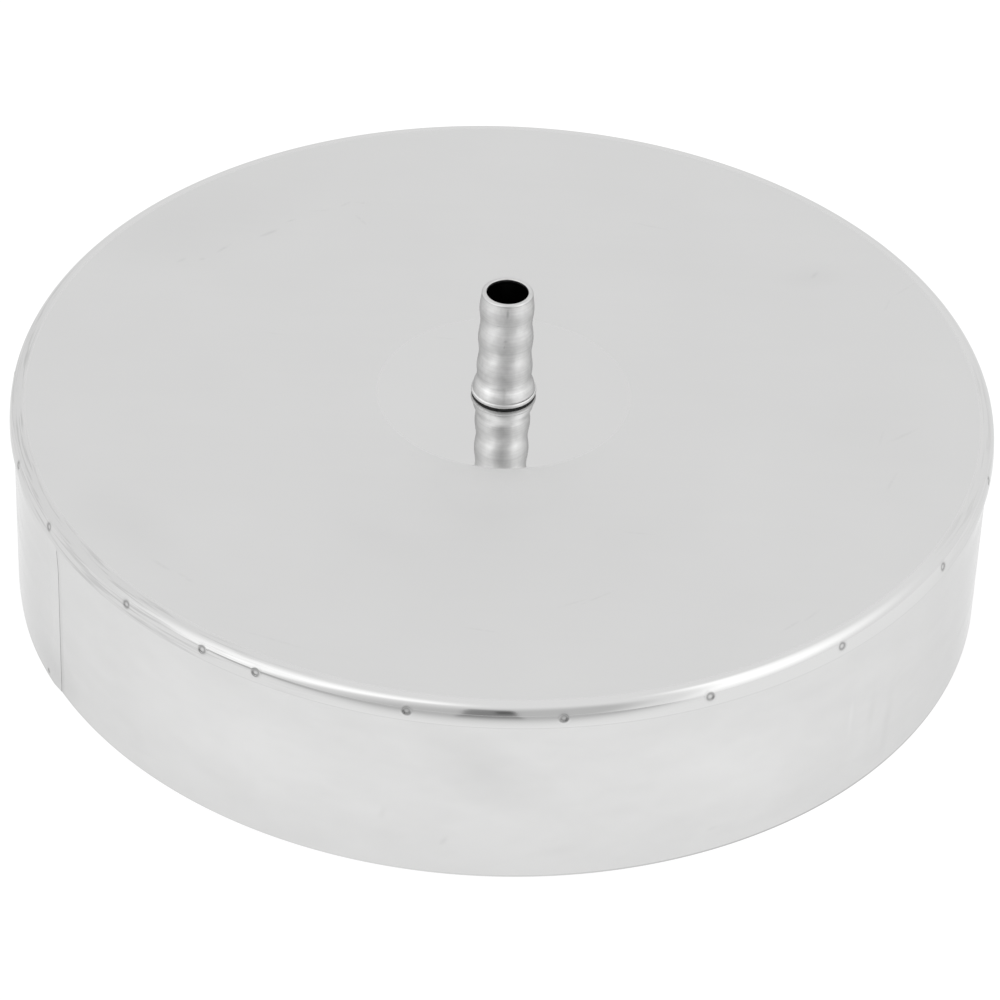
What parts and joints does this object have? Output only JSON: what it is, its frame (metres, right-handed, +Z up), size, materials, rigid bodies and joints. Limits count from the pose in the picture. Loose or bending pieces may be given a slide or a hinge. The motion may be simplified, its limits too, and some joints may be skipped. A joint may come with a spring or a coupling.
{
  "type": "condensate end cap",
  "caption": "Shallow round sheet steel cap that closes the lower end of a flue or duct, with a ribbed hose nipple in its middle to drain condensate.",
  "frame": {"origin": "centre of the skirt's open edge, on the plane that the cap stands on", "axes": "+Z up through the lid and out along the drain nipple; -Y is the front, and the skirt's lap joint is at 150 degrees clockwise from +X seen from above"},
  "size_m": [0.2824, 0.2824, 0.0953],
  "materials": {
    "bright_sheet": "bright annealed stainless sheet, close to a mirror",
    "tube_steel": "drawn stainless tube, satin bright",
    "seal_rubber": "matt black"
  },
  "bodies": {
    "root": {"skirt": "bright_sheet", "lid": "bright_sheet", "drain_nipple": "tube_steel", "seal_ring": "seal_rubber"}
  },
  "joints": []
}
